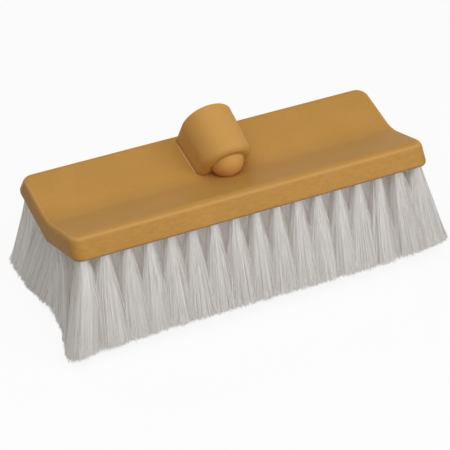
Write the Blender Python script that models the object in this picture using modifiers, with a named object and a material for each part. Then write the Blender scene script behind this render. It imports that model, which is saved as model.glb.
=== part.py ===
"""Two-level wash brush head: a moulded block with a slanted handle socket and tufted bristles.

Units are metres, +Z is up and X runs along the block. The brush stands on the tips of its two
inner tuft rows, and the origin is on that floor, under the middle of the block.
"""
from math import cos, pi, radians, sin

import bmesh
import bpy
from mathutils import Matrix, Vector

# Block
BLOCK_LENGTH = 0.254
WING_TILT = radians(15.7)
WING_LENGTH = 0.0417
BLOCK_THICKNESS = 0.0160
SIDE_FLARE = 0.0056
VALLEY_RADIUS = 0.020
CORNER_RADIUS = 0.008
TOP_FILLET = 0.0035
BOTTOM_FILLET = 0.0018

# Handle socket
SOCKET_TILT = radians(24.5)
SOCKET_HEIGHT = 0.0115
HOOD_DIAMETER = 0.0356
HOOD_DEPTH = 0.0180
HOOD_FRONT = 0.0044
MOUTH_REACH = 0.0315
HOOD_FILLET = 0.0045

# Threaded barrel
BARREL_DIAMETER = 0.0232
BARREL_WALL = 0.0017
MOUTH_INSET = 0.0042
NOSE_REACH = 0.0086

# Bristles
TRIM_LENGTH = 0.0610
TUFT_PITCH = 0.0150
ROW_PITCH = 0.0160
ROWS_PER_WING = 3
END_MARGIN = 0.0070
SIDE_MARGIN = 0.0092
TUFT_DIAMETER = 0.0054
HOLE_FLOOR = 0.0050
STRIP_MARGIN = 0.0018
STRIP_THICKNESS = 0.0015
STRIP_OVERHANG = 0.0045
ROOT_OFFSET = 0.00125
ROOT_RADIUS = 0.0011
TIP_OFFSET = 0.0037
TIP_RADIUS = 0.0020
END_SPLAY = 0.0110
SIDE_SPLAY = 0.0010
FLOOR_CUT = 0.0005

# Anchors
ANCHOR_BITE = 0.0008
ANCHOR_HEIGHT = 0.0018
ANCHOR_THICKNESS = 0.0004
FOLD_HEIGHT = 0.0015

CLEARANCE = 0.0003
OVERSHOOT = 0.005
ROUND_SIDES = 32
HOLE_SIDES = 8
PLUG_SIDES = 6
STRAND_SIDES = 3

# Colours and finishes
OCHRE_PLASTIC = ((0.48, 0.27, 0.07, 1.0), 0.5, 0.0)
DARK_OCHRE_PLASTIC = ((0.38, 0.21, 0.06, 1.0), 0.45, 0.0)
WHITE_FILAMENT = ((0.80, 0.79, 0.75, 1.0), 0.6, 0.0)
STEEL_WIRE = ((0.60, 0.60, 0.60, 1.0), 0.35, 1.0)


def clear_scene():
    for thing in list(bpy.data.objects):
        bpy.data.objects.remove(thing, do_unlink=True)


def new_collection(name):
    collection = bpy.data.collections.new(name)
    bpy.context.scene.collection.children.link(collection)
    return collection


def finish_material(name, finish):
    colour, roughness, metallic = finish
    material = bpy.data.materials.new(name)
    material.use_nodes = True
    shader = material.node_tree.nodes["Principled BSDF"]
    shader.inputs["Base Color"].default_value = colour
    shader.inputs["Roughness"].default_value = roughness
    shader.inputs["Metallic"].default_value = metallic
    return material


def mesh_object(name, bm, collection, parent, material=None):
    """Turn a bmesh into an object under a parent empty; without a material it is a cutter."""
    mesh = bpy.data.meshes.new(name)
    bm.to_mesh(mesh)
    bm.free()
    thing = bpy.data.objects.new(name, mesh)
    thing.parent = parent
    collection.objects.link(thing)
    if material is None:
        thing.hide_render = True
        thing.display_type = "WIRE"
    else:
        mesh.materials.append(material)
    return thing


def new_empty(name, matrix, parent):
    empty = bpy.data.objects.new(name, None)
    parts.objects.link(empty)
    empty.parent = parent
    empty.matrix_local = matrix
    return empty


def boolean(thing, operand, operation):
    modifier = thing.modifiers.new(operand.name, "BOOLEAN")
    modifier.operation = operation
    modifier.object = operand
    modifier.solver = "EXACT"


def add_box(bm, low, high):
    low = Vector(low)
    high = Vector(high)
    size = high - low
    place = Matrix.Translation((low + high) / 2.0) @ Matrix.Diagonal((*size, 1.0))
    bmesh.ops.create_cube(bm, size=1.0, matrix=place)


def add_prism(bm, centre, bottom, top, radius, sides):
    place = Matrix.Translation((centre[0], centre[1], (bottom + top) / 2.0))
    bmesh.ops.create_cone(bm, cap_ends=True, segments=sides, radius1=radius, radius2=radius,
                          depth=top - bottom, matrix=place)


# Block


def section_outline():
    """Half-round valley, two wings and a ridge underneath, as points across the block."""
    run = WING_LENGTH * cos(WING_TILT)
    rise = WING_LENGTH * sin(WING_TILT)
    outer = WING_LENGTH + SIDE_FLARE
    foot_y = outer * cos(WING_TILT) + BLOCK_THICKNESS * sin(WING_TILT)
    foot_z = outer * sin(WING_TILT) - BLOCK_THICKNESS * cos(WING_TILT)
    centre_z = VALLEY_RADIUS / cos(WING_TILT)
    steps = 6
    valley = []
    for step in range(steps + 1):
        angle = WING_TILT * (1.0 - 2.0 * step / steps)
        valley.append((VALLEY_RADIUS * sin(angle), centre_z - VALLEY_RADIUS * cos(angle)))
    ridge = (0.0, -BLOCK_THICKNESS / cos(WING_TILT))
    return [(run, rise)] + valley + [(-run, rise), (-foot_y, foot_z), ridge, (foot_y, foot_z)]


def section_prism():
    """The outline as a filled flat curve, extruded along the block and turned to lie along X."""
    curve = bpy.data.curves.new("block_section", "CURVE")
    curve.dimensions = "2D"
    curve.fill_mode = "BOTH"
    curve.extrude = BLOCK_LENGTH / 2.0
    outline = section_outline()
    spline = curve.splines.new("POLY")
    spline.points.add(len(outline) - 1)
    for point, (across, height) in zip(spline.points, outline):
        point.co = (across, height, 0.0, 1.0)
    spline.use_cyclic_u = True
    guide = bpy.data.objects.new("block_section", curve)
    cutters.objects.link(guide)
    graph = bpy.context.evaluated_depsgraph_get()
    mesh = bpy.data.meshes.new_from_object(guide.evaluated_get(graph))
    bpy.data.objects.remove(guide, do_unlink=True)
    across_to_y = Matrix(((0, 0, 1, 0), (1, 0, 0, 0), (0, 1, 0, 0), (0, 0, 0, 1)))
    mesh.transform(across_to_y)
    bm = bmesh.new()
    bm.from_mesh(mesh)
    bpy.data.meshes.remove(mesh)
    bmesh.ops.remove_doubles(bm, verts=bm.verts, dist=0.00001)
    bmesh.ops.dissolve_limit(bm, angle_limit=radians(0.5), verts=bm.verts, edges=bm.edges)
    bmesh.ops.recalc_face_normals(bm, faces=bm.faces)
    return bm


def round_edges(bm, edges, radius, segments):
    bmesh.ops.bevel(bm, geom=edges, offset=radius, offset_type="OFFSET", segments=segments,
                    profile=0.5, affect="EDGES", clamp_overlap=True, material=-1)


def corner_edges(bm):
    """The four upright edges between the ends and the long sides."""
    side = WING_LENGTH * cos(WING_TILT) - CLEARANCE
    end = BLOCK_LENGTH / 2.0 - CLEARANCE
    found = []
    for edge in bm.edges:
        first, second = edge.verts
        same_end = first.co.x * second.co.x > 0.0
        if same_end and all(abs(v.co.x) > end and abs(v.co.y) > side for v in edge.verts):
            found.append(edge)
    return found


def rim_edges(bm, upward):
    """Edges where the top (or the underside) meets the sides and ends."""
    bm.normal_update()
    found = []
    for edge in bm.edges:
        heights = sorted(upward * face.normal.z for face in edge.link_faces)
        if len(heights) == 2 and heights[1] > 0.9 and heights[0] < 0.75:
            found.append(edge)
    return found


def block_body():
    bm = section_prism()
    round_edges(bm, corner_edges(bm), CORNER_RADIUS, 5)
    round_edges(bm, rim_edges(bm, 1.0), TOP_FILLET, 3)
    round_edges(bm, rim_edges(bm, -1.0), BOTTOM_FILLET, 2)
    return bm


def hood_body():
    """A half-round arch on straight walls, in the socket's own frame, from its front to its mouth."""
    radius = HOOD_DIAMETER / 2.0
    steps = ROUND_SIDES // 2
    outline = [(radius, HOOD_DEPTH)]
    for step in range(steps + 1):
        angle = pi * step / steps
        outline.append((radius * cos(angle), -radius * sin(angle)))
    outline.append((-radius, HOOD_DEPTH))
    bm = bmesh.new()
    front = bm.faces.new([bm.verts.new((out, down, -HOOD_FRONT)) for out, down in outline])
    pushed = bmesh.ops.extrude_face_region(bm, geom=[front])["geom"]
    moved = [item for item in pushed if isinstance(item, bmesh.types.BMVert)]
    bmesh.ops.translate(bm, verts=moved, vec=(0.0, 0.0, HOOD_FRONT + MOUTH_REACH))
    bmesh.ops.recalc_face_normals(bm, faces=bm.faces)
    front_rim = []
    for edge in bm.edges:
        at_front = all(v.co.z < 0.0 for v in edge.verts)
        at_foot = all(v.co.y > HOOD_DEPTH - CLEARANCE for v in edge.verts)
        if at_front and not at_foot:
            front_rim.append(edge)
    round_edges(bm, front_rim, HOOD_FILLET, 4)
    return bm


# Threaded barrel


def barrel_profile(grow, rear):
    """Outer side of the barrel from its rear end down to the tip of its round nose."""
    radius = BARREL_DIAMETER / 2.0
    centre = radius - HOOD_FRONT - NOSE_REACH
    points = [(radius + grow, rear)]
    steps = 8
    for step in range(steps + 1):
        angle = 0.5 * pi * step / steps
        out = (radius + grow) * cos(angle)
        points.append((max(out, 0.0), centre - (radius + grow) * sin(angle)))
    points[-1] = (0.0, centre - radius - grow)
    return points


def turned(name, profile, collection, parent, material=None):
    """A profile of (radius, height) points turned about the parent's Z axis by a Screw modifier."""
    bm = bmesh.new()
    corners = [bm.verts.new((out, 0.0, height)) for out, height in profile]
    for first, second in zip(corners, corners[1:]):
        bm.edges.new((first, second))
    thing = mesh_object(name, bm, collection, parent, material)
    screw = thing.modifiers.new("turn", "SCREW")
    screw.axis = "Z"
    screw.steps = ROUND_SIDES
    screw.render_steps = ROUND_SIDES
    screw.use_merge_vertices = True
    screw.merge_threshold = 0.00001
    return thing


def barrel_outline():
    """Barrel wall, round nose and the blind bore that takes the handle."""
    bore = BARREL_DIAMETER / 2.0 - BARREL_WALL
    seat = BARREL_DIAMETER / 2.0 - HOOD_FRONT - NOSE_REACH
    chamfer = BARREL_WALL / 2.0
    rear = MOUTH_REACH - MOUTH_INSET
    inner = [(0.0, seat), (bore, seat), (bore, rear - chamfer), (bore + chamfer, rear)]
    return inner + barrel_profile(0.0, rear)


# Bristles


def row_offset(row):
    """Distance of a row from the valley along its wing; row 1 is next to the ridge."""
    return WING_LENGTH + SIDE_FLARE - SIDE_MARGIN - (ROWS_PER_WING - row) * ROW_PITCH


def tuft_places(row):
    """Tuft centres along a row, the middle rows staggered by half a pitch."""
    most = int((BLOCK_LENGTH - 2.0 * END_MARGIN) / TUFT_PITCH + 0.001) + 1
    count = most - (row + ROWS_PER_WING) % 2
    return [(index - (count - 1) / 2.0) * TUFT_PITCH for index in range(count)]


def tip_place(place, row, side_x, side_u):
    """Where one strand of a tuft ends in the trim plane, with the end and side tufts splayed."""
    half = (BLOCK_LENGTH - 2.0 * END_MARGIN) / 2.0
    splay = END_SPLAY * (place / half) ** 7
    lean = SIDE_SPLAY if row == ROWS_PER_WING else 0.0
    return place + splay + side_x * TIP_OFFSET, row_offset(row) + lean + side_u * TIP_OFFSET


def strand_matrix(root, tip, top, bottom):
    """Shear that carries an upright cone from the root's centre to the tip's centre."""
    height = top - bottom
    lean_x = (root[0] - tip[0]) / height
    lean_u = (root[1] - tip[1]) / height
    middle = ((root[0] + tip[0]) / 2.0, (root[1] + tip[1]) / 2.0, (top + bottom) / 2.0)
    return Matrix(((1, 0, lean_x, middle[0]), (0, 1, lean_u, middle[1]), (0, 0, 1, middle[2]), (0, 0, 0, 1)))


def row_strands(row):
    """Four straight strands for each tuft, flaring from the root to their own corner of its cell."""
    bm = bmesh.new()
    top = UNDERSIDE + STRIP_THICKNESS / 2.0
    bottom = UNDERSIDE - TRIM_LENGTH
    for place in tuft_places(row):
        for side_x in (-1.0, 1.0):
            for side_u in (-1.0, 1.0):
                root = (place + side_x * ROOT_OFFSET, row_offset(row) + side_u * ROOT_OFFSET)
                tip = tip_place(place, row, side_x, side_u)
                bmesh.ops.create_cone(bm, cap_ends=True, segments=STRAND_SIDES, radius1=TIP_RADIUS,
                                      radius2=ROOT_RADIUS, depth=top - bottom,
                                      matrix=strand_matrix(root, tip, top, bottom))
    return bm


def row_plugs(row):
    """The folded roots, one in each blind hole."""
    bm = bmesh.new()
    for place in tuft_places(row):
        add_prism(bm, (place, row_offset(row)), UNDERSIDE + STRIP_THICKNESS / 2.0,
                  UNDERSIDE + HOLE_DEPTH - CLEARANCE, TUFT_DIAMETER / 2.0, PLUG_SIDES)
    return bm


def row_holes(row):
    """Blind holes whose flats clear the folded roots."""
    bm = bmesh.new()
    radius = (TUFT_DIAMETER / 2.0 + CLEARANCE) / cos(pi / HOLE_SIDES)
    for place in tuft_places(row):
        add_prism(bm, (place, row_offset(row)), UNDERSIDE - OVERSHOOT, UNDERSIDE + HOLE_DEPTH,
                  radius, HOLE_SIDES)
    return bm


def row_strip(row, grow, bottom):
    """The slice of backing under a row, or with a margin the pocket that it lies in."""
    half_length = tuft_places(row)[-1] + STRIP_OVERHANG + grow
    half_width = STRIP_WIDTH / 2.0 + grow
    bm = bmesh.new()
    add_box(bm, (-half_length, row_offset(row) - half_width, bottom),
            (half_length, row_offset(row) + half_width, UNDERSIDE + STRIP_THICKNESS + grow))
    return bm


def add_anchor(bm, place, row, grow):
    """A flat wire blade across one tuft's fold, its ends let into the wall of the hole."""
    top = UNDERSIDE + HOLE_DEPTH - CLEARANCE - FOLD_HEIGHT
    low = (place - ANCHOR_LENGTH / 2.0, row_offset(row) - ANCHOR_THICKNESS / 2.0, top - ANCHOR_HEIGHT)
    high = (place + ANCHOR_LENGTH / 2.0, row_offset(row) + ANCHOR_THICKNESS / 2.0, top)
    add_box(bm, Vector(low) - Vector((grow, grow, grow)), Vector(high) + Vector((grow, grow, grow)))


def lowest_point(row_bm, turn):
    return min((turn @ vertex.co).z for vertex in row_bm.verts)


clear_scene()
parts = new_collection("wash_brush_head")
cutters = new_collection("cutters")
UNDERSIDE = -BLOCK_THICKNESS
HOLE_DEPTH = BLOCK_THICKNESS - HOLE_FLOOR
STRIP_WIDTH = TUFT_DIAMETER + 2.0 * STRIP_MARGIN
ANCHOR_LENGTH = TUFT_DIAMETER + 2.0 * ANCHOR_BITE

# Frames: the valley line, the two wings and the slanted socket
wing_turn = Matrix.Rotation(WING_TILT, 4, "X")
inner_strands = row_strands(1)
valley_height = -lowest_point(inner_strands, wing_turn) - FLOOR_CUT
inner_strands.free()
valley = new_empty("valley", Matrix.Translation((0.0, 0.0, valley_height)), None)
wings = {
    "rear": new_empty("rear_wing", wing_turn, valley),
    "front": new_empty("front_wing", Matrix.Rotation(pi, 4, "Z") @ wing_turn, valley),
}
socket_turn = Matrix.Rotation(SOCKET_TILT - pi / 2.0, 4, "X")
socket = new_empty("socket", Matrix.Translation((0.0, 0.0, SOCKET_HEIGHT)) @ socket_turn, valley)

# Block with its hood and barrel seat
block_material = finish_material("ochre_plastic", OCHRE_PLASTIC)
block = mesh_object("brush_block", block_body(), parts, valley, block_material)
hood = mesh_object("hood", hood_body(), cutters, socket)
boolean(block, hood, "UNION")
seat_profile = [(0.0, MOUTH_REACH + HOOD_DIAMETER)] + barrel_profile(CLEARANCE, MOUTH_REACH + HOOD_DIAMETER)
boolean(block, turned("barrel_seat", seat_profile, cutters, socket), "DIFFERENCE")

# Barrel
barrel_material = finish_material("dark_ochre_plastic", DARK_OCHRE_PLASTIC)
barrel = turned("socket_barrel", barrel_outline(), parts, socket, barrel_material)

# Tuft rows with their pockets, holes and anchors
filament_material = finish_material("white_filament", WHITE_FILAMENT)
wire_material = finish_material("steel_wire", STEEL_WIRE)
floor_bm = bmesh.new()
add_box(floor_bm, (-BLOCK_LENGTH, -BLOCK_LENGTH, -OVERSHOOT), (BLOCK_LENGTH, BLOCK_LENGTH, 0.0))
floor = mesh_object("floor", floor_bm, cutters, None)
for wing_name, wing in wings.items():
    for row in range(1, ROWS_PER_WING + 1):
        name = f"{wing_name}_tuft_row_{row}"
        tufts = mesh_object(name, row_strip(row, 0.0, UNDERSIDE), parts, wing, filament_material)
        boolean(tufts, mesh_object(f"{name}_roots", row_plugs(row), cutters, wing), "UNION")
        boolean(tufts, mesh_object(f"{name}_strands", row_strands(row), cutters, wing), "UNION")
        pocket = row_strip(row, CLEARANCE, UNDERSIDE - OVERSHOOT)
        boolean(block, mesh_object(f"{name}_pocket", pocket, cutters, wing), "DIFFERENCE")
        boolean(block, mesh_object(f"{name}_holes", row_holes(row), cutters, wing), "DIFFERENCE")
        if row == 1:
            boolean(tufts, floor, "DIFFERENCE")
        if row == ROWS_PER_WING:
            slots_bm = bmesh.new()
            for number, place in enumerate(tuft_places(row), start=1):
                add_anchor(slots_bm, place, row, CLEARANCE)
                anchor_bm = bmesh.new()
                add_anchor(anchor_bm, place, row, 0.0)
                mesh_object(f"{wing_name}_anchor_{number:02d}", anchor_bm, parts, wing, wire_material)
            slots = mesh_object(f"{name}_slots", slots_bm, cutters, wing)
            boolean(tufts, slots, "DIFFERENCE")
            boolean(block, slots, "DIFFERENCE")
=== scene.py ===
# %% [markdown]
# # A two-level wash brush head
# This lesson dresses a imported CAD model: a moulded block with two tilted wings, a slanted handle
# socket and rows of pale bristle tufts. The CAD keeps the sizes, and every piece made here is laid
# in the same frame: metres, X along the block, +Y to the socket's mouth, Z up from the floor.

# %% Load the frame
from math import cos, pi, radians, sin, sqrt, tan, tau

import bmesh
import bpy
import numpy as np
from mathutils import Matrix, Vector


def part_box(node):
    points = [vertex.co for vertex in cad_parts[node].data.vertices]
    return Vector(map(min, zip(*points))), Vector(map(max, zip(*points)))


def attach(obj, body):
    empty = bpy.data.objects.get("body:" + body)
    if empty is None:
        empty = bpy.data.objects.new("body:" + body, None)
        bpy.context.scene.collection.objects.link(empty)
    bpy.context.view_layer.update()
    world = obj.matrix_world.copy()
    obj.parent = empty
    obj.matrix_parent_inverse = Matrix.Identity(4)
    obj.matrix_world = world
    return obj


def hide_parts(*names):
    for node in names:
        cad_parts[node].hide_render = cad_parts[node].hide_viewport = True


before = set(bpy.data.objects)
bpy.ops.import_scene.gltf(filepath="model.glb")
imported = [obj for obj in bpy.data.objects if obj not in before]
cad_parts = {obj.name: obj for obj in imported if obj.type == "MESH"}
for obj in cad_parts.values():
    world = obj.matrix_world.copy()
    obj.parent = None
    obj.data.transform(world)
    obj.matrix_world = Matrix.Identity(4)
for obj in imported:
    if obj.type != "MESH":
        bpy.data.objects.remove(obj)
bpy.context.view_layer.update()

# %% [markdown]
# ## The driving sizes
# The block's own box gives its length and the height of its underside. The rest are the sizes that
# the CAD was drawn with, written once here and used by every piece below.

# %% Sizes of the block, the socket and the bristles
block_low, block_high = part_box("brush_block")
BLOCK_LENGTH = block_high[0] - block_low[0]
WING_TILT = radians(15.7)
WING_LENGTH = 0.0417
SIDE_FLARE = 0.0056
BLOCK_THICKNESS = 0.0160
UNDERSIDE = -BLOCK_THICKNESS
VALLEY_HEIGHT = block_low[2] + BLOCK_THICKNESS / cos(WING_TILT)
SOCKET_TILT = radians(24.5)
SOCKET_HEIGHT = 0.0115
HOOD_RADIUS = 0.0178
HOOD_DEPTH = 0.0180
HOOD_FRONT = -0.0044
MOUTH_REACH = 0.0315
BARREL_RADIUS = 0.0116
BARREL_REAR = 0.0273
SEAT_GAP = 0.00006
TRIM_LENGTH = 0.0610
TUFT_PITCH = 0.0150
ROW_PITCH = 0.0160
ROWS = (1, 2, 3)
END_MARGIN = 0.0070
SIDE_MARGIN = 0.0092
print("valley at", round(VALLEY_HEIGHT, 4), "block length", round(BLOCK_LENGTH, 4))

# %% Frames: one for each wing and one along the socket's axis
to_valley = Matrix.Translation((0.0, 0.0, VALLEY_HEIGHT))
WINGS = {
    "rear": to_valley @ Matrix.Rotation(WING_TILT, 4, "X"),
    "front": to_valley @ Matrix.Rotation(pi, 4, "Z") @ Matrix.Rotation(WING_TILT, 4, "X"),
}
SOCKET = (to_valley @ Matrix.Translation((0.0, 0.0, SOCKET_HEIGHT))
          @ Matrix.Rotation(SOCKET_TILT - pi / 2.0, 4, "X"))

# %% [markdown]
# ## Camera
# The photograph was taken with a long lens from the front left and above. The camera's distance,
# angles and lens were fitted to the block's straight edges, so the render lines up with it.

# %% Camera at the photograph's viewing angle
AZIMUTH = radians(-26.85)
ELEVATION = radians(33.84)
CAMERA_OFFSET = Vector((-0.5145, -1.0162, 0.7225))
LENS = 165.6
FAR_CLIP = 20.0
camera = bpy.data.objects.new("camera", bpy.data.cameras.new("camera"))
bpy.context.scene.collection.objects.link(camera)
camera.location = Vector((0.0, 0.0, VALLEY_HEIGHT)) + CAMERA_OFFSET
camera.rotation_euler = (pi / 2.0 - ELEVATION, 0.0, AZIMUTH)
camera.data.lens = LENS
camera.data.clip_end = FAR_CLIP
bpy.context.scene.camera = camera
bpy.context.scene.view_settings.view_transform = "Standard"
print("camera", round(CAMERA_OFFSET.length, 3), "m from the valley")

# %% [markdown]
# ## Shader maths as Python
# A finish is a graph of nodes. Writing it as an expression is easier to read than wiring it by
# hand, so a small class wraps a socket and adds a Math node for every operator. One method adds
# every other kind of node.

# %% A socket in an expression
class Wire:
    """One output socket that takes part in arithmetic."""

    def __init__(self, graph, socket):
        self.graph = graph
        self.socket = socket

    def maths(self, operation, first, second):
        return self.graph.add("ShaderNodeMath", {"operation": operation}, {0: first, 1: second})

    def __add__(self, other):
        return self.maths("ADD", self, other)

    def __sub__(self, other):
        return self.maths("SUBTRACT", self, other)

    def __rsub__(self, other):
        return self.maths("SUBTRACT", other, self)

    def __mul__(self, other):
        return self.maths("MULTIPLY", self, other)

    def __abs__(self):
        return self.maths("ABSOLUTE", self, 0.0)

    __radd__ = __add__
    __rmul__ = __mul__


# %% A graph that grows as expressions are written
class Graph:
    """A tree of shader nodes, with one method that adds any node and short names for a few."""

    def __init__(self, tree):
        self.nodes = tree.nodes
        self.links = tree.links

    def add(self, kind, settings=None, sockets=None, output=0):
        """Adds a node, sets it up, then fills or links its sockets, and returns one output."""
        node = self.nodes.new(kind)
        for name, value in (settings or {}).items():
            setattr(node, name, value)
        self.fill(node, sockets or {})
        return Wire(self, node.outputs[output])

    def fill(self, node, sockets):
        for name, value in sockets.items():
            if isinstance(value, Wire):
                self.links.new(value.socket, node.inputs[name])
            else:
                node.inputs[name].default_value = value

    def place(self, stretch=(1.0, 1.0, 1.0)):
        """Object coordinates, stretched by a Mapping node."""
        coordinates = self.add("ShaderNodeTexCoord", output="Object")
        return self.add("ShaderNodeMapping", sockets={"Vector": coordinates, "Scale": stretch})

    def noise(self, place, scale, detail=2.0, roughness=0.5):
        return self.add("ShaderNodeTexNoise", {"normalize": True},
                        {"Vector": place, "Scale": scale, "Detail": detail, "Roughness": roughness})

    def blend(self, factor, first, second):
        """A colour between two colours or colour wires."""
        return self.add("ShaderNodeMix", {"data_type": "RGBA"},
                        {0: factor, 6: first, 7: second}, output=2)

    def span(self, value, low, high, start=0.0, end=1.0):
        """Maps a value from one range to another, held at the ends."""
        return self.add("ShaderNodeMapRange", {"clamp": True},
                        {0: value, 1: low, 2: high, 3: start, 4: end})

    def bump(self, height, strength, distance):
        return self.add("ShaderNodeBump",
                        sockets={"Height": height, "Strength": strength, "Distance": distance})

    def ray(self, kind):
        """One for light that is followed in one way, such as Is Camera Ray, and nought otherwise."""
        return self.add("ShaderNodeLightPath", output=kind)

    def seen_rays(self):
        """One for what the camera sees, straight, mirrored or through something clear."""
        return self.ray("Is Camera Ray") + self.ray("Is Glossy Ray") + self.ray("Is Transmission Ray")


# %% A graph with a material round it
class MaterialGraph(Graph):
    """A material's nodes, with its Principled shader ready."""

    def __init__(self, name):
        self.material = bpy.data.materials.new(name)
        self.material.use_nodes = True
        super().__init__(self.material.node_tree)
        self.shader = self.nodes["Principled BSDF"]

    def finish(self, **sockets):
        self.fill(self.shader, {name.replace("_", " "): value for name, value in sockets.items()})
        return self.material


# %% [markdown]
# ## Plastic of the block
# The block is moulded from ochre plastic. Its top is smooth and satin, and its sides keep a fine
# grain that runs along the block. The grain is a noise on Object coordinates, stretched along X and
# stronger where the surface is steep. A picture of grain would need a seam somewhere, and a noise
# fits every face. A painted highlight makes the rims paler, and painted light makes the hood paler.
# A mask gives each: the slope for the rims, the place for the hood.

# %% Colours and grain of the plastic
OCHRE = (0.484, 0.256, 0.064, 1.0)
PALE_OCHRE = (0.530, 0.280, 0.078, 1.0)
DEEP_OCHRE = (0.370, 0.172, 0.034, 1.0)
# painted highlight colour for the rims between the top and the walls
RIM_HIGHLIGHT_OCHRE = (0.610, 0.350, 0.130, 1.0)
# painted light colour that makes the hood and the barrel paler
PAINTED_LIGHT_OCHRE = (0.600, 0.320, 0.090, 1.0)
FLECK_SHARE = 0.75
CLOUD_SHARE = 0.5
# share of the painted highlight on the rims
RIM_HIGHLIGHT_SHARE = 0.55
# share of the painted light on the hood
HOOD_PAINTED_LIGHT_SHARE = 0.75
SHEEN_LEVEL = 0.06
SATIN = (0.36, 0.44)
GRAIN = 560.0
GRAIN_STRETCH = (0.4, 1.0, 1.2)
GRAIN_ROUGHENS = 0.14
FLECKS = (0.35, 0.70)
CLOUD = 35.0
CLOUD_SWELL = 0.3
CLOUDED = (0.45, 0.75)
NOISE_MIDDLE = (0.3, 0.7)
BUMP_STRENGTH = 0.6

# %% Slopes and places that the masks read, and the hood's mask
STEEP_BELOW, FLAT_ABOVE = 0.35, 0.9
GRAIN_ON_TOP = 0.15
# slopes where the painted highlight lies along the rims
RIM_HIGHLIGHT_FROM = (0.64, 0.78)
RIM_HIGHLIGHT_TO = (0.95, 0.86)
HOOD_EDGE = (0.0215, 0.0195)
HOOD_STANDS_OUT = (0.001, 0.005)


def hood_mask(graph):
    """One on the hood, which stands above the wings' planes, and nought on the wings."""
    position = graph.add("ShaderNodeTexCoord", output="Object")
    along, across, height = (graph.add("ShaderNodeSeparateXYZ", sockets={0: position}, output=axis)
                             for axis in "XYZ")
    above = height - VALLEY_HEIGHT - abs(across) * tan(WING_TILT)
    near = graph.span(along * along, HOOD_EDGE[0] ** 2, HOOD_EDGE[1] ** 2)
    return near * graph.span(above, *HOOD_STANDS_OUT)


# %% Ochre plastic
BLOCK_GRAIN_DEPTH = 0.0003


def ochre_plastic(name, grain_depth, painted_light=None):
    """The block's plastic, with a painted highlight on its rims and painted light on the hood; a piece
    that is painted paler all over gives its own share of painted light.
    """
    graph = MaterialGraph(name)
    # painted light on the hood, unless the piece gives its own share
    painted_light = painted_light or hood_mask(graph) * HOOD_PAINTED_LIGHT_SHARE
    normal = graph.add("ShaderNodeNewGeometry", output="Normal")
    lift = graph.add("ShaderNodeSeparateXYZ", sockets={0: normal}, output="Z")
    steep = graph.span(lift, STEEP_BELOW, FLAT_ABOVE, 1.0, GRAIN_ON_TOP)
    cloud = graph.noise(graph.place(), CLOUD, detail=3.0)
    grain = graph.noise(graph.place(GRAIN_STRETCH), GRAIN, detail=4.0, roughness=0.6)
    mottled = graph.blend(graph.span(grain, *FLECKS) * steep * FLECK_SHARE, OCHRE, DEEP_OCHRE)
    clouded = graph.blend(graph.span(cloud, *CLOUDED) * CLOUD_SHARE, mottled, PALE_OCHRE)
    # Painted highlight: the rims are made paler, except where painted light already lies.
    rims = graph.span(lift, *RIM_HIGHLIGHT_FROM) * graph.span(lift, *RIM_HIGHLIGHT_TO)
    rim_highlighted = graph.blend(rims * (1.0 - painted_light) * RIM_HIGHLIGHT_SHARE, clouded, RIM_HIGHLIGHT_OCHRE)
    # Painted light: the hood, or a whole piece such as the barrel, is made paler.
    colour = graph.blend(painted_light, rim_highlighted, PAINTED_LIGHT_OCHRE)
    roughness = graph.span(cloud, *NOISE_MIDDLE, *SATIN) + steep * grain * GRAIN_ROUGHENS
    bump = graph.bump(grain * steep + cloud * CLOUD_SWELL, BUMP_STRENGTH, grain_depth)
    return graph.finish(Base_Color=colour, Roughness=roughness, Normal=bump,
                        Specular_IOR_Level=SHEEN_LEVEL)


BLOCK_PLASTIC = ochre_plastic("ochre_plastic", BLOCK_GRAIN_DEPTH)
print("block plastic has", len(BLOCK_PLASTIC.node_tree.nodes), "nodes")

# %% [markdown]
# ## The block
# The block is one moulding with a V section. It could be cut from a box, but a section that is
# drawn once and pushed along X keeps the angle of both wings exact. Bevels round the plan corners
# first, then the top and bottom rims, as a mould maker would. A Boolean joins the socket's hood.

# %% From a bmesh to an object and back
SMOOTH_ANGLE = 40.0
MOULDED_ANGLE = 35.0


def to_object(name, bm, material, smooth_angle=SMOOTH_ANGLE):
    """A bmesh as a finished object at the origin."""
    mesh = bpy.data.meshes.new(name)
    bm.to_mesh(mesh)
    bm.free()
    mesh.shade_smooth()
    mesh.set_sharp_from_angle(angle=radians(smooth_angle))
    thing = bpy.data.objects.new(name, mesh)
    bpy.context.scene.collection.objects.link(thing)
    if material is not None:
        mesh.materials.append(material)
    return thing


def evaluated_bmesh(thing):
    """The object as its modifiers leave it, as a bmesh; the object is removed."""
    graph = bpy.context.evaluated_depsgraph_get()
    mesh = bpy.data.meshes.new_from_object(thing.evaluated_get(graph))
    bm = bmesh.new()
    bm.from_mesh(mesh)
    bpy.data.meshes.remove(mesh)
    bpy.data.objects.remove(thing, do_unlink=True)
    return bm


def combine(body, tool, operation):
    """Boolean of two bmeshes, both given up for the result."""
    base = to_object("base", body, None)
    other = to_object("tool", tool, None)
    modifier = base.modifiers.new("combine", "BOOLEAN")
    modifier.operation = operation
    modifier.object = other
    modifier.solver = "EXACT"
    result = evaluated_bmesh(base)
    bpy.data.objects.remove(other, do_unlink=True)
    return result


# %% Steps that several pieces share
MERGE_DISTANCE = 1e-6
NEAR = 0.0001


def merge(bm):
    bmesh.ops.remove_doubles(bm, verts=bm.verts, dist=MERGE_DISTANCE)


def push(bm, faces, path):
    """Extrudes faces along a straight path into a closed solid."""
    pushed = bmesh.ops.extrude_face_region(bm, geom=faces)["geom"]
    moved = [item for item in pushed if isinstance(item, bmesh.types.BMVert)]
    bmesh.ops.translate(bm, verts=moved, vec=path)
    bmesh.ops.recalc_face_normals(bm, faces=bm.faces)


def round_edges(bm, edges, radius, segments):
    bmesh.ops.bevel(bm, geom=edges, offset=radius, offset_type="OFFSET", segments=segments,
                    profile=0.5, affect="EDGES", clamp_overlap=True, material=-1)


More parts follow.
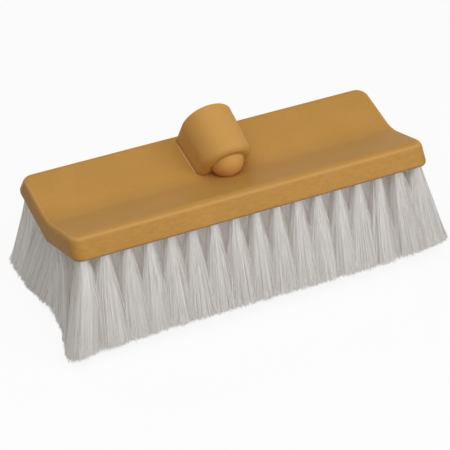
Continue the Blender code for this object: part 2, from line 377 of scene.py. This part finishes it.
def in_socket(bm):
    """Lays a bmesh that was made along Z on the socket's axis."""
    bmesh.ops.transform(bm, matrix=SOCKET, verts=bm.verts)
    return bm


# %% Section of the block, pushed along X
VALLEY_RADIUS = 0.030
VALLEY_STEPS = 10


def block_section():
    """Corners of the V section, with a round valley, as (y, z) from the valley line."""
    run = WING_LENGTH * cos(WING_TILT)
    rise = WING_LENGTH * sin(WING_TILT)
    outer = WING_LENGTH + SIDE_FLARE
    foot = Vector((outer * cos(WING_TILT) + BLOCK_THICKNESS * sin(WING_TILT),
                   outer * sin(WING_TILT) - BLOCK_THICKNESS * cos(WING_TILT)))
    centre = VALLEY_RADIUS / cos(WING_TILT)
    points = [(run, rise)]
    for step in range(VALLEY_STEPS + 1):
        angle = WING_TILT * (1.0 - 2.0 * step / VALLEY_STEPS)
        points.append((VALLEY_RADIUS * sin(angle), centre - VALLEY_RADIUS * cos(angle)))
    points.append((-run, rise))
    points.append((-foot.x, foot.y))
    points.append((0.0, -BLOCK_THICKNESS / cos(WING_TILT)))
    points.append((foot.x, foot.y))
    return points


def section_prism():
    bm = bmesh.new()
    start = -BLOCK_LENGTH / 2.0
    face = bm.faces.new([bm.verts.new((start, y, z + VALLEY_HEIGHT)) for y, z in block_section()])
    push(bm, [face], (BLOCK_LENGTH, 0.0, 0.0))
    return bm


# %% Rounded block
CORNER_RADIUS = 0.008
TOP_FILLET = 0.0040
BOTTOM_FILLET = 0.0032
CORNER_REACH = 0.001
FLAT_SLOPE = 0.9
WALL_SLOPE = 0.75


def corner_edges(bm):
    """Upright edges at the block's four plan corners."""
    end = BLOCK_LENGTH / 2.0 - CORNER_REACH
    side = WING_LENGTH * cos(WING_TILT) - CORNER_REACH
    found = []
    for edge in bm.edges:
        first, second = edge.verts
        same_end = first.co.x * second.co.x > 0.0
        if same_end and all(abs(v.co.x) > end and abs(v.co.y) > side for v in edge.verts):
            found.append(edge)
    return found


def rim_edges(bm, upward):
    """Edges between the top, or the underside, and the walls."""
    bm.normal_update()
    found = []
    for edge in bm.edges:
        slopes = sorted(upward * face.normal.z for face in edge.link_faces)
        if slopes[-1] > FLAT_SLOPE and slopes[0] < WALL_SLOPE:
            found.append(edge)
    return found


def rounded_block():
    bm = section_prism()
    round_edges(bm, corner_edges(bm), CORNER_RADIUS, 8)
    round_edges(bm, rim_edges(bm, 1.0), TOP_FILLET, 6)
    round_edges(bm, rim_edges(bm, -1.0), BOTTOM_FILLET, 3)
    return bm


# %% [markdown]
# The hood over the socket is a half-round arch on straight walls that widen a little to the foot, so
# that it leaves its mould. A sunk cylinder would leave round flanks instead, so a circle has its
# lower half drawn out to two feet. It is pushed along the socket's slant, and its lip leans forward.

# %% Hood of the socket
HOOD_SIDES = 96
HOOD_DRAFT = 0.0014
LIP_SHEAR = 0.10
LIP_FILLET = 0.0045
MOUTH_FILLET = 0.0012


def arch():
    """The hood's outline at its front: the lower half of a circle is drawn out to the two feet."""
    bm = bmesh.new()
    bmesh.ops.create_circle(bm, cap_ends=True, radius=HOOD_RADIUS, segments=HOOD_SIDES)
    bmesh.ops.translate(bm, verts=bm.verts, vec=(0.0, 0.0, HOOD_FRONT))
    foot = HOOD_RADIUS + HOOD_DRAFT
    for vertex in bm.verts:
        if vertex.co.y > NEAR:
            vertex.co = (foot if vertex.co.x > 0.0 else -foot, HOOD_DEPTH, HOOD_FRONT)
    merge(bm)
    return bm


def arch_rim(bm, level):
    """Edges of the arch at one end of the hood, without its foot."""
    found = []
    for edge in bm.edges:
        at_foot = all(v.co.y > HOOD_DEPTH - NEAR for v in edge.verts)
        if not at_foot and all(abs(v.co.z - level) < NEAR for v in edge.verts):
            found.append(edge)
    return found


def hood():
    """The arch pushed from its front to its mouth, with a leaning lip and round rims."""
    bm = arch()
    push(bm, bm.faces[:], (0.0, 0.0, MOUTH_REACH - HOOD_FRONT))
    lip = arch_rim(bm, HOOD_FRONT)
    mouth = arch_rim(bm, MOUTH_REACH)
    for vertex in bm.verts:
        if abs(vertex.co.z - HOOD_FRONT) < NEAR:
            vertex.co.z = HOOD_FRONT + LIP_SHEAR * vertex.co.y
    round_edges(bm, lip, LIP_FILLET, 9)
    round_edges(bm, [edge for edge in mouth if edge.is_valid], MOUTH_FILLET, 4)
    return in_socket(bm)


# %% Fillet where the hood grows out of the wings
HOOD_BASE_FILLET = 0.0012


def hood_base_edges(bm):
    """Hollow edges that lie on the hood's straight walls."""
    bm.normal_update()
    to_socket = SOCKET.inverted()
    found = []
    for edge in bm.edges:
        if len(edge.link_faces) != 2 or edge.is_convex:
            continue
        spots = [to_socket @ v.co for v in edge.verts]
        if all(abs(abs(p.x) - HOOD_RADIUS) < HOOD_DRAFT and p.y > 0.0 for p in spots):
            found.append(edge)
    return found


# %% [markdown]
# The socket is bored through the hood: a plain seat for the barrel, and a shallow flare in front
# where the barrel's nose shows. A spun profile gives such round shapes without a seam between side
# and nose. The flare is cut before the hood joins the block, so that it leaves the wings whole.

# %% Turned shapes, made by spinning a profile
ROUND_SIDES = 96
NOSE_STEPS = 14


def turned(profile):
    """A closed profile of (radius, height) points spun about Z."""
    bm = bmesh.new()
    corners = [bm.verts.new((radius, 0.0, height)) for radius, height in profile]
    edges = [bm.edges.new(pair) for pair in zip(corners, corners[1:])]
    bmesh.ops.spin(bm, geom=corners + edges, cent=(0.0, 0.0, 0.0), axis=(0.0, 0.0, 1.0),
                   angle=tau, steps=ROUND_SIDES, use_merge=True)
    merge(bm)
    bmesh.ops.recalc_face_normals(bm, faces=bm.faces)
    return bm


def nose_arc(radius, centre):
    """A quarter circle from the barrel's side to the tip of its nose."""
    points = []
    for step in range(NOSE_STEPS):
        angle = 0.5 * pi * step / NOSE_STEPS
        points.append((radius * cos(angle), centre - radius * sin(angle)))
    return points + [(0.0, centre - radius)]


# %% Hood with its flare, joined to the block and bored
NOSE_REACH = 0.0086
NOSE_CENTRE = BARREL_RADIUS + HOOD_FRONT - NOSE_REACH
FLARE = 0.0002
FLARE_DEPTH = 0.0008

seat_radius = BARREL_RADIUS + SEAT_GAP
seat_end = MOUTH_REACH + HOOD_RADIUS
flare = turned([(0.0, HOOD_FRONT + FLARE_DEPTH), (BARREL_RADIUS, HOOD_FRONT + FLARE_DEPTH),
                (seat_radius + FLARE, HOOD_FRONT - SEAT_GAP), (0.0, HOOD_FRONT - SEAT_GAP)])
block_bm = combine(rounded_block(), combine(hood(), in_socket(flare), "DIFFERENCE"), "UNION")
merge(block_bm)
base_edges = hood_base_edges(block_bm)
round_edges(block_bm, base_edges, HOOD_BASE_FILLET, 3)
print("hood base edges", len(base_edges))
seat = turned([(0.0, seat_end), (seat_radius, seat_end)] + nose_arc(seat_radius, NOSE_CENTRE))
block_bm = combine(block_bm, in_socket(seat), "DIFFERENCE")

# %% [markdown]
# ## Holes for the tufts
# The underside is drilled square to each wing. The tufts hide the holes, but a part in a library is
# turned over and taken apart. The places come from one rule, and the tufts, the holes and the wire
# anchors all read it, so that they cannot drift apart.

# %% Where the tufts stand
COUNT_SLACK = 0.001


def row_offset(row):
    """Distance of a row from the valley, along its wing; row 1 is next to the ridge."""
    return WING_LENGTH + SIDE_FLARE - SIDE_MARGIN - (ROWS[-1] - row) * ROW_PITCH


def tuft_places(row):
    """Tuft centres along X; the middle rows are staggered by half a pitch."""
    most = int((BLOCK_LENGTH - 2.0 * END_MARGIN) / TUFT_PITCH + COUNT_SLACK) + 1
    count = most - (row + ROWS[-1]) % 2
    return [(index - (count - 1) / 2.0) * TUFT_PITCH for index in range(count)]


print("tufts a wing", sum(len(tuft_places(row)) for row in ROWS))

# %% Drill the underside
HOLE_RADIUS = 0.0031
HOLE_DEPTH = 0.0110
DRILL_START = -0.003
HOLE_SIDES = 14


def add_drill(bm, place):
    """A cylinder from below the underside to the bottom of one hole."""
    middle = Matrix.Translation((0.0, 0.0, (DRILL_START + HOLE_DEPTH) / 2.0))
    bmesh.ops.create_cone(bm, cap_ends=True, segments=HOLE_SIDES, radius1=HOLE_RADIUS,
                          radius2=HOLE_RADIUS, depth=HOLE_DEPTH - DRILL_START, matrix=place @ middle)


drill = bmesh.new()
for wing in WINGS.values():
    for row in ROWS:
        for place in tuft_places(row):
            add_drill(drill, wing @ Matrix.Translation((place, row_offset(row), UNDERSIDE)))
block_bm = combine(block_bm, drill, "DIFFERENCE")
merge(block_bm)
block = to_object("block_moulding", block_bm, BLOCK_PLASTIC, MOULDED_ANGLE)
even = block.modifiers.new("even_normals", "WEIGHTED_NORMAL")
even.keep_sharp = True
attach(block, "root")
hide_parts("brush_block")
print("block faces", len(block.data.polygons))

# %% [markdown]
# A fine bead runs along the foot of the hood's walls and gives a thin line of light; its pale
# colour is a painted highlight. It could be bevelled into the block, but a curve with a round bevel
# gives it in a few points, tapered at its ends. Its plastic is paler than the block, like the
# painted highlight on the rims, and varies unevenly.

# %% Plastic of the bead, painted pale as a highlight
BEAD_DARK = (0.50, 0.29, 0.115, 1.0)
BEAD_PALE = (0.62, 0.37, 0.165, 1.0)
BEAD_ROUGHNESS = (0.42, 0.58)
BEAD_SHEEN = 0.2


def bead_painted_highlight():
    graph = MaterialGraph("bead_painted_highlight")
    uneven_tone = graph.noise(graph.place(), GRAIN, detail=3.0)
    # Painted highlight: the bead is paler than the block, unevenly.
    return graph.finish(Base_Color=graph.blend(uneven_tone, BEAD_DARK, BEAD_PALE),
                        Roughness=graph.span(uneven_tone, *NOISE_MIDDLE, *BEAD_ROUGHNESS),
                        Specular_IOR_Level=BEAD_SHEEN)


# %% Bead along the hood's foot
BEAD_RADIUS = 0.0007
BEAD_FRONT = 0.0035
BEAD_REAR = 0.0345
BEAD_STEPS = 16
BEAD_DRAFT_SHARE = 0.7
BEAD_OUT = HOOD_RADIUS + BEAD_DRAFT_SHARE * HOOD_DRAFT
BEAD_END = 0.3
BEAD_GROWTH = 0.35


def wing_height(y):
    """Height of the wings' top at a distance from the valley line, the round valley included."""
    if y < VALLEY_RADIUS * sin(WING_TILT):
        return VALLEY_RADIUS / cos(WING_TILT) - sqrt(VALLEY_RADIUS ** 2 - y ** 2)
    return y * tan(WING_TILT)


bead_curve = bpy.data.curves.new("hood_bead", "CURVE")
bead_curve.dimensions = "3D"
bead_curve.bevel_depth = BEAD_RADIUS
bead_curve.bevel_resolution = 2
bead_curve.use_fill_caps = True
for side in (-1.0, 1.0):
    bead_line = bead_curve.splines.new("POLY")
    bead_line.points.add(BEAD_STEPS)
    for step, point in enumerate(bead_line.points):
        y = BEAD_FRONT + (BEAD_REAR - BEAD_FRONT) * step / BEAD_STEPS
        point.co = (side * BEAD_OUT, y, VALLEY_HEIGHT + wing_height(y), 1.0)
        point.radius = min(1.0, BEAD_END + BEAD_GROWTH * min(step, BEAD_STEPS - step))
bead_guide = bpy.data.objects.new("hood_bead", bead_curve)
bpy.context.scene.collection.objects.link(bead_guide)
bead = to_object("hood_bead", evaluated_bmesh(bead_guide), bead_painted_highlight())
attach(bead, "root")
print("bead faces", len(bead.data.polygons))

# %% [markdown]
# ## The barrel
# The handle screws into a blind barrel whose round nose peeps out under the hood. Seen from behind
# it is an open tube, where a bump would look flat at the rim. So it gets a real coarse thread: a
# ridge section that spin carries round and up a helix.

# %% Thread of the handle
BORE_RADIUS = 0.0099
THREAD_PITCH = 0.0050
THREAD_DEPTH = 0.0012
THREAD_WIDTH = 0.0030
THREAD_SINK = 0.0003
THREAD_START = 0.7
THREAD_TURNS = 3.4
THREAD_STEPS = 40


def thread_ridge(bottom):
    """A ridge section carried up a helix by spin."""
    bm = bmesh.new()
    root = BORE_RADIUS + THREAD_SINK
    crest = BORE_RADIUS - THREAD_DEPTH
    half = THREAD_WIDTH / 2.0
    outline = [(root, bottom - half), (crest, bottom - half / 3.0),
               (crest, bottom + half / 3.0), (root, bottom + half)]
    face = bm.faces.new([bm.verts.new((radius, 0.0, height)) for radius, height in outline])
    bmesh.ops.spin(bm, geom=[face] + face.edges[:] + face.verts[:], cent=(0.0, 0.0, 0.0),
                   axis=(0.0, 0.0, 1.0), dvec=(0.0, 0.0, THREAD_PITCH / THREAD_STEPS),
                   angle=tau * THREAD_TURNS, steps=int(THREAD_STEPS * THREAD_TURNS), use_merge=False)
    merge(bm)
    bmesh.ops.recalc_face_normals(bm, faces=bm.faces)
    return bm


# %% Barrel with its thread
CHAMFER = 0.0009
BARREL_GRAIN_DEPTH = 0.00008
# The barrel's nose is painted paler all over with painted light, like the hood.
BARREL_PAINTED_LIGHT = 0.9
BARREL_PLASTIC = ochre_plastic("barrel_plastic", BARREL_GRAIN_DEPTH, BARREL_PAINTED_LIGHT)

barrel_bm = turned([(0.0, NOSE_CENTRE), (BORE_RADIUS, NOSE_CENTRE), (BORE_RADIUS, BARREL_REAR - CHAMFER),
                    (BORE_RADIUS + CHAMFER, BARREL_REAR), (BARREL_RADIUS, BARREL_REAR)]
                   + nose_arc(BARREL_RADIUS, NOSE_CENTRE))
ridge_bm = thread_ridge(NOSE_CENTRE + THREAD_PITCH * THREAD_START)
ridge_mesh = bpy.data.meshes.new("ridge")
ridge_bm.to_mesh(ridge_mesh)
ridge_bm.free()
barrel_bm.from_mesh(ridge_mesh)
bpy.data.meshes.remove(ridge_mesh)
barrel = to_object("threaded_barrel", in_socket(barrel_bm), BARREL_PLASTIC, MOULDED_ANGLE)
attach(barrel, "root")
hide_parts("socket_barrel")
print("barrel faces", len(barrel.data.polygons))

# %% [markdown]
# ## Bristle filaments
# Each tuft is a bundle of white filaments, folded in its hole and trimmed parallel to the wing. Hair
# particles would be quick, but they leave no mesh behind. Here every filament is a thin curve: it
# leaves the hole in a tight bundle, fans out to fill its cell and splits at the tip. Light passes
# through real filaments, so theirs is a finish with some scattering below the surface and a weak
# painted glow that stands in for that light. A shade that is kept on each filament makes single
# strands show; its painted shade darkens the gaps between tufts and the inner rows' end tufts, and
# its painted light makes the roots paler.

# %% Filament material
FILAMENT = (0.945, 0.928, 0.908, 1.0)
# the shaded colour serves both random darker strands and the painted shade between tufts
SHADED_FILAMENT = (0.56, 0.510, 0.455, 1.0)
GLOSS = (0.34, 0.55)
GLOW_THROUGH = 0.6
GLOW_REACH = 0.003
# weak painted glow, which stands in for light that passes through the filaments
PAINTED_GLOW = 0.085


def filament_material():
    graph = MaterialGraph("white_filament")
    shade = graph.add("ShaderNodeAttribute", {"attribute_name": "shade"}, output="Fac")
    colour = graph.blend(shade, FILAMENT, SHADED_FILAMENT)
    # Painted glow: the filaments give off their own colour as light, weakly.
    return graph.finish(Base_Color=colour, Roughness=graph.span(shade, 0.0, 1.0, *GLOSS),
                        Subsurface_Weight=GLOW_THROUGH, Subsurface_Radius=(1.0, 1.0, 1.0),
                        Subsurface_Scale=GLOW_REACH, Emission_Color=colour,
                        Emission_Strength=PAINTED_GLOW)


FILAMENT_MATERIAL = filament_material()

# %% [markdown]
# The tips end where shears would leave them: behind a wall at each end, behind a side that is
# scalloped from tuft to tuft, and at the trim length. Even trim would look machine made. Here the
# end walls stand in at the ridge and lean out on the front wing, and the right end is shorter.

# %% Counts and sizes of the filaments
FILAMENTS = 455
END_FILAMENTS = 690
FILAMENT_RADIUS = 0.00021
FILAMENT_SIDES = 3
BUNDLE_RADIUS = 0.0030
LEVELS = (-0.03, 0.13, 0.46, 0.97)
LEVEL_RADII = (1.0, 1.0, 1.0, 0.8)
FLAG_LEVELS = (0.88, 1.0)
FLAG_RADII = (0.7, 0.45)

# %% Where the tips of a tuft end
CELL_REACH = np.array((0.0090, 0.0092))
INWARD_REACH = 0.0250
END_WALL = 0.1345
END_SETBACK = 0.0060
END_LEAN_POWER = 7


def tip_centre(place, row):
    """Centre of a tuft's tips in the trim plane; the tufts near the ends lean out to the end wall."""
    last = tuft_places(row)[-1]
    lean = END_WALL - END_SETBACK - last
    return np.array((place + lean * (place / last) ** END_LEAN_POWER, row_offset(row)))


def tip_offset(spot, row):
    """Where a filament ends in its cell; the inner rows also fill the space under the ridge."""
    offset = spot * CELL_REACH
    if row == ROWS[0] and spot[1] < 0.0:
        offset[1] = spot[1] * INWARD_REACH
    return offset


# %% Walls that hold the tips
SIDE_OVERHANG = 0.0045
SIDE_WALL = row_offset(ROWS[-1]) + SIDE_OVERHANG
WALL_CORNER = 0.0065
RIDGE_NOTCH = 0.0070
FRONT_SPREAD = 0.0065
REAR_SPREAD = -0.0030


def end_wall(across, turn):
    """Place of the end wall: in at the ridge, out at the outer rows, most on the front wing."""
    share = min(1.0, max(0.0, across / SIDE_WALL))
    spread = FRONT_SPREAD if turn < 0.0 else REAR_SPREAD
    return END_WALL - RIDGE_NOTCH * (1.0 - share) + spread * share


def inside_walls(tip, scallop, scatter, turn):
    """Holds a tip behind the end wall, the scalloped outer side and the round corner between."""
    wall = np.array((end_wall(tip[1], turn) - abs(scatter[0]),
                     SIDE_WALL - abs(scatter[1]) - scallop))
    held = np.minimum((abs(tip[0]), tip[1]), wall)
    over = held - (wall - WALL_CORNER)
    if over.min() > 0.0 and np.hypot(*over) > WALL_CORNER:
        held = wall - WALL_CORNER + over * WALL_CORNER / np.hypot(*over)
    return np.array((np.copysign(held[0], tip[0]), held[1]))


# %% Length of a filament
SHORT_FROM = 0.0950
SHORT_SHARE = 0.065
SHORT_POWER = 1.5
LONG_FROM = 0.0700
LONG_SHARE = 0.050
FLOOR_SHARE = 0.01
RIDGE_CUT = 5.0


def trim_reach(tip, along, scatter):
    """The share of the trim length that a tip keeps: less near the ridge and at the right end."""
    room = VALLEY_HEIGHT + tip[1] * sin(WING_TILT) + UNDERSIDE * cos(WING_TILT)
    floor = room / (TRIM_LENGTH * cos(WING_TILT)) - FLOOR_SHARE
    shorter = SHORT_SHARE * max(0.0, (along - SHORT_FROM) / (END_WALL - SHORT_FROM)) ** SHORT_POWER
    change = LONG_SHARE * max(0.0, (-along - LONG_FROM) / (END_WALL - LONG_FROM)) - shorter
    return min(1.0 + change + scatter, floor - abs(scatter)) - max(0.0, -tip[1]) * RIDGE_CUT


# %% How a bundle opens
STEADY, CORNER, EARLY, AT_ONCE = 1.25, 1.4, 3.0, 6.0
ACROSS, END_ACROSS = 1.6, 5.0


def opening_speeds(spot, centre, row):
    """How early a filament spreads along and across its wing; inner and end tufts fill gaps early."""
    last, before = tuft_places(row)[-1], tuft_places(row)[-2]
    inner = row < ROWS[-1]
    outward = spot[0] * centre[0] > 0.0
    if abs(centre[0]) == last:
        outer_speed = CORNER if outward else EARLY
        return AT_ONCE if inner else outer_speed, END_ACROSS
    if inner or (outward and abs(centre[0]) == before):
        return EARLY, ACROSS
    return STEADY, ACROSS


def fan(level, speed):
    """How far the bundle has opened at a level between the hole, 0, and the trim, 1."""
    return 1.0 - (1.0 - level) ** speed


# %% Points of one filament
CRIMP = 0.0002
CRIMP_WAVE = 9.0
CRIMP_PHASE = 40.0
LEAN_POWER = 1.4


def filament_points(root, lean, tip, levels, speeds, crimp, reach):
    """Points of one filament in its wing's frame: the bundle opens early and leans late."""
    points = []
    for level in levels:
        held = min(max(level, 0.0), 1.0)
        opened = np.array([fan(held, speed) for speed in speeds])
        across = root + lean * held ** LEAN_POWER + (tip - root - lean) * opened
        across = across + crimp * sin(CRIMP_WAVE * level + CRIMP_PHASE * crimp[0] / CRIMP)
        points.append((across[0], across[1], UNDERSIDE - level * reach * TRIM_LENGTH))
    return points


def add_spline(curve, points, radii):
    spline = curve.splines.new("POLY")
    spline.points.add(len(points) - 1)
    rows = np.ones((len(points), 4))
    rows[:, :3] = points
    spline.points.foreach_set("co", rows.ravel())
    spline.points.foreach_set("radius", radii)


def filament_profile():
    """The small polygon that every filament is swept with."""
    profile = bpy.data.curves.new("filament_section", "CURVE")
    profile.dimensions = "2D"
    spline = profile.splines.new("POLY")
    spline.points.add(FILAMENT_SIDES - 1)
    for index, point in enumerate(spline.points):
        angle = index * tau / FILAMENT_SIDES
        point.co = (FILAMENT_RADIUS * cos(angle), FILAMENT_RADIUS * sin(angle), 0.0, 1.0)
    spline.use_cyclic_u = True
    thing = bpy.data.objects.new("filament_section", profile)
    bpy.context.scene.collection.objects.link(thing)
    return thing


# %% One filament with its split tip
STRAY = np.array((0.0024, 0.0018))
WALL_SCATTER = 0.0009
SCALLOP = 0.0040
SCALLOP_FADE = 2.0
TRIM_SCATTER = 0.010
SPLIT_SCATTER = 0.0007
SPLIT_SHORTER = 0.005
OWN_SHADE = 0.68
OWN_SHADE_DRAW = (1.0, 1.8)
# Painted shade: the next two darken filaments at the outer tufts' sides, between tufts, and in the inner
# rows' end tufts.
PAINTED_GAP_SHADE = 0.55
GAP_POWER = 3
PAINTED_END_SHADE = 0.45


def painted_place_shade(spot, centre, row):
    """Painted shade of a filament from its place: dark between the outer tufts and at the inner rows'
    ends.
    """
    if row == ROWS[-1]:
        return PAINTED_GAP_SHADE * abs(spot[0]) ** GAP_POWER
    return PAINTED_END_SHADE if abs(centre[0]) == tuft_places(row)[-1] else 0.0


def add_filament(curve, draws, centre, aim, row, turn):
    """Adds one filament with its split tip and returns its own shade and the painted shade of its place.
    """
    spot = draws.uniform(-1.0, 1.0, 2)
    speeds = opening_speeds(spot, centre, row)
    root = centre + spot * BUNDLE_RADIUS * max(abs(spot)) / np.hypot(*spot)
    lean = aim - centre
    tip = aim + tip_offset(spot, row) + draws.normal(0.0, STRAY)
    to_end = lean[0] * spot[0] / CELL_REACH[0]
    scallop = SCALLOP * spot[0] ** 2 * max(0.0, 1.0 - SCALLOP_FADE * max(0.0, to_end))
    tip = inside_walls(tip, scallop, draws.normal(0.0, WALL_SCATTER, 2), turn)
    crimp = draws.normal(0.0, CRIMP, 2)
    reach = trim_reach(tip, turn * tip[0], draws.normal(0.0, TRIM_SCATTER))
    add_spline(curve, filament_points(root, lean, tip, LEVELS, speeds, crimp, reach), LEVEL_RADII)
    split = tip + draws.normal(0.0, SPLIT_SCATTER, 2)
    start = filament_points(root, lean, tip, FLAG_LEVELS[:1], speeds, crimp, reach)
    reach = reach * (1.0 - abs(draws.normal(0.0, SPLIT_SHORTER)))
    end = filament_points(root, lean, split, FLAG_LEVELS[1:], speeds, crimp, reach)
    add_spline(curve, start + end, FLAG_RADII)
    return OWN_SHADE * draws.beta(*OWN_SHADE_DRAW), painted_place_shade(spot, centre, row)


# %% A row of tufts as one piece
AIM_SCATTER = 0.0012
# Painted light: the roots keep only a fifth of a filament's own shade, so they are paler.
ROOT_SHADE = 0.2
SHADE_DEPTH = 0.6
GAP_FADE = 0.5
SMOOTH_ALL = 180.0


def row_curve(name, row, turn, draws, section):
    """Every filament of a row as one curve, swept with the small section, and their shades."""
    curve = bpy.data.curves.new(name, "CURVE")
    curve.dimensions = "3D"
    curve.bevel_mode = "OBJECT"
    curve.bevel_object = section
    places = tuft_places(row)
    shades = []
    for place in places:
        at_end = place in (places[0], places[-1])
        centre = np.array((place, row_offset(row)))
        aim = tip_centre(place, row) + draws.normal(0.0, AIM_SCATTER, 2)
        for _ in range(END_FILAMENTS if at_end else FILAMENTS):
            shades.append(add_filament(curve, draws, centre, aim, row, turn))
    return curve, shades


def shade_values(shades):
    """Shade of every vertex: a filament's own grows from its root, kept paler as painted light, and its
    place's painted shade fades to its tip.
    """
    levels = np.array(LEVELS + FLAG_LEVELS)
    own = ROOT_SHADE + (1.0 - ROOT_SHADE) * np.clip(levels, 0.0, SHADE_DEPTH) / SHADE_DEPTH
    between = 1.0 - GAP_FADE * np.clip(levels, 0.0, 1.0)
    return np.repeat(np.array(shades) @ (own, between), FILAMENT_SIDES, axis=1).ravel()


def tuft_row(name, wing, row, seed, section):
    """One row's mesh; the front wing's frame is turned round, which its first number shows."""
    curve, shades = row_curve(name, row, wing[0][0], np.random.default_rng(seed), section)
    guide = bpy.data.objects.new(name, curve)
    bpy.context.scene.collection.objects.link(guide)
    bm = evaluated_bmesh(guide)
    bpy.data.curves.remove(curve)
    bmesh.ops.transform(bm, matrix=wing, verts=bm.verts)
    tufts = to_object(name, bm, FILAMENT_MATERIAL, SMOOTH_ALL)
    shade = tufts.data.attributes.new("shade", "FLOAT", "POINT")
    shade.data.foreach_set("value", shade_values(shades))
    return tufts


# %% Tuft rows of both wings
FIRST_SEED = 11
SEEDS_A_WING = 10
section = filament_profile()
for wing_number, (wing_name, wing) in enumerate(WINGS.items()):
    for row in ROWS:
        seed = FIRST_SEED + SEEDS_A_WING * wing_number + row
        tufts = tuft_row(f"{wing_name}_filaments_{row}", wing, row, seed, section)
        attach(tufts, "root")
        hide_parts(f"{wing_name}_tuft_row_{row}")
        print(tufts.name, "faces", len(tufts.data.polygons))
bpy.data.objects.remove(section, do_unlink=True)

# %% [markdown]
# ## Wire anchors
# A flat wire blade across each fold keeps the tuft in its hole. The CAD holds the blades of the
# outer rows, and the inner rows get theirs here, from the same rule for places. A noise that is
# drawn out across the blade gives the brushed look of drawn wire.

# %% Wire
WIRE_DARK = (0.52, 0.52, 0.52, 1.0)
WIRE_BRIGHT = (0.68, 0.67, 0.65, 1.0)
WIRE_ROUGHNESS = (0.25, 0.45)
BRUSHED = 900.0
BRUSHED_STRETCH = (40.0, 1.0, 1.0)


def wire_material():
    graph = MaterialGraph("anchor_wire")
    brushed = graph.noise(graph.place(BRUSHED_STRETCH), BRUSHED)
    return graph.finish(Base_Color=graph.blend(brushed, WIRE_DARK, WIRE_BRIGHT), Metallic=1.0,
                        Roughness=graph.span(brushed, *NOISE_MIDDLE, *WIRE_ROUGHNESS))


# %% Anchors
ANCHOR = (0.0070, 0.0004, 0.0018)
ANCHOR_LIFT = 0.0092
ANCHOR_TOP = UNDERSIDE + ANCHOR_LIFT
ANCHOR_EDGE = 0.00008
WIRE = wire_material()
for wing_name, wing in WINGS.items():
    for row in ROWS[:-1]:
        blades = bmesh.new()
        for place in tuft_places(row):
            spot = Matrix.Translation((place, row_offset(row), ANCHOR_TOP - ANCHOR[2] / 2.0))
            bmesh.ops.create_cube(blades, size=1.0, matrix=wing @ spot @ Matrix.Diagonal((*ANCHOR, 1.0)))
        round_edges(blades, blades.edges[:], ANCHOR_EDGE, 1)
        anchors = to_object(f"{wing_name}_anchors_{row}", blades, WIRE)
        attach(anchors, "root")
        print(anchors.name, "faces", len(anchors.data.polygons))
for name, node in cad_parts.items():
    if "anchor" in name:
        node.data.materials.clear()
        node.data.materials.append(WIRE)

# %% [markdown]
# ## Floor and light
# A plain white background would let the brush float, so a pale floor carries the soft shadow. To
# the camera it is nearly white, and to the brush it gives back less light, so that the bristles
# keep their shade. The key light stands to the right and in front, a wide lamp hangs above to the
# left, and a weak one behind lights the back. The left end of the block falls into shade, as in
# the photograph.

# %% Floor
FLOOR_SIZE = 6.0
FLOOR_SEEN = (0.92, 0.92, 0.92, 1.0)
FLOOR_BOUNCE = (0.35, 0.35, 0.35, 1.0)
FLOOR_ROUGHNESS = 0.9
FLOOR_GLOW = 0.88


def floor_material():
    graph = MaterialGraph("pale_floor")
    graph.finish(Base_Color=graph.blend(graph.ray("Is Camera Ray"), FLOOR_BOUNCE, FLOOR_SEEN),
                 Roughness=FLOOR_ROUGHNESS)
    plain = Wire(graph, graph.shader.outputs[0])
    glow = graph.add("ShaderNodeEmission")
    mixed = graph.add("ShaderNodeMixShader",
                      sockets={0: graph.seen_rays() * FLOOR_GLOW, 1: plain, 2: glow})
    graph.fill(graph.nodes["Material Output"], {"Surface": mixed})
    return graph.material


floor_bm = bmesh.new()
bmesh.ops.create_grid(floor_bm, x_segments=1, y_segments=1, size=FLOOR_SIZE)
floor = to_object("floor", floor_bm, floor_material())

# %% World, white to the camera and dim to the brush
AMBIENT = 0.21
world = bpy.data.worlds.new("studio")
bpy.context.scene.world = world
world.use_nodes = True
studio = Graph(world.node_tree)
studio.fill(studio.nodes["Background"], {
    "Color": (1.0, 1.0, 1.0, 1.0),
    "Strength": studio.span(studio.seen_rays(), 0.0, 1.0, AMBIENT, 1.0),
})

# %% Lamps
LAMP_AIM = Vector((0.0, 0.0, 0.06))
LAMPS = {
    "key": {"place": (0.95, -1.35, 0.80), "size": 1.0, "power": 12.5},
    "top": {"place": (-0.42, -0.70, 1.50), "size": 1.9, "power": 20.5},
    "rear": {"place": (-0.20, 1.30, 1.10), "size": 0.8, "power": 3.0},
}
BOUNCES = 12


def add_lamp(name, place, size, power):
    lamp = bpy.data.objects.new(name, bpy.data.lights.new(name, "AREA"))
    bpy.context.scene.collection.objects.link(lamp)
    lamp.location = place
    lamp.rotation_euler = (LAMP_AIM - Vector(place)).to_track_quat("-Z", "Y").to_euler()
    lamp.data.size = size
    lamp.data.energy = power


for name, lamp in LAMPS.items():
    add_lamp(name, **lamp)
bpy.context.scene.cycles.diffuse_bounces = BOUNCES
print("lamps", list(LAMPS))
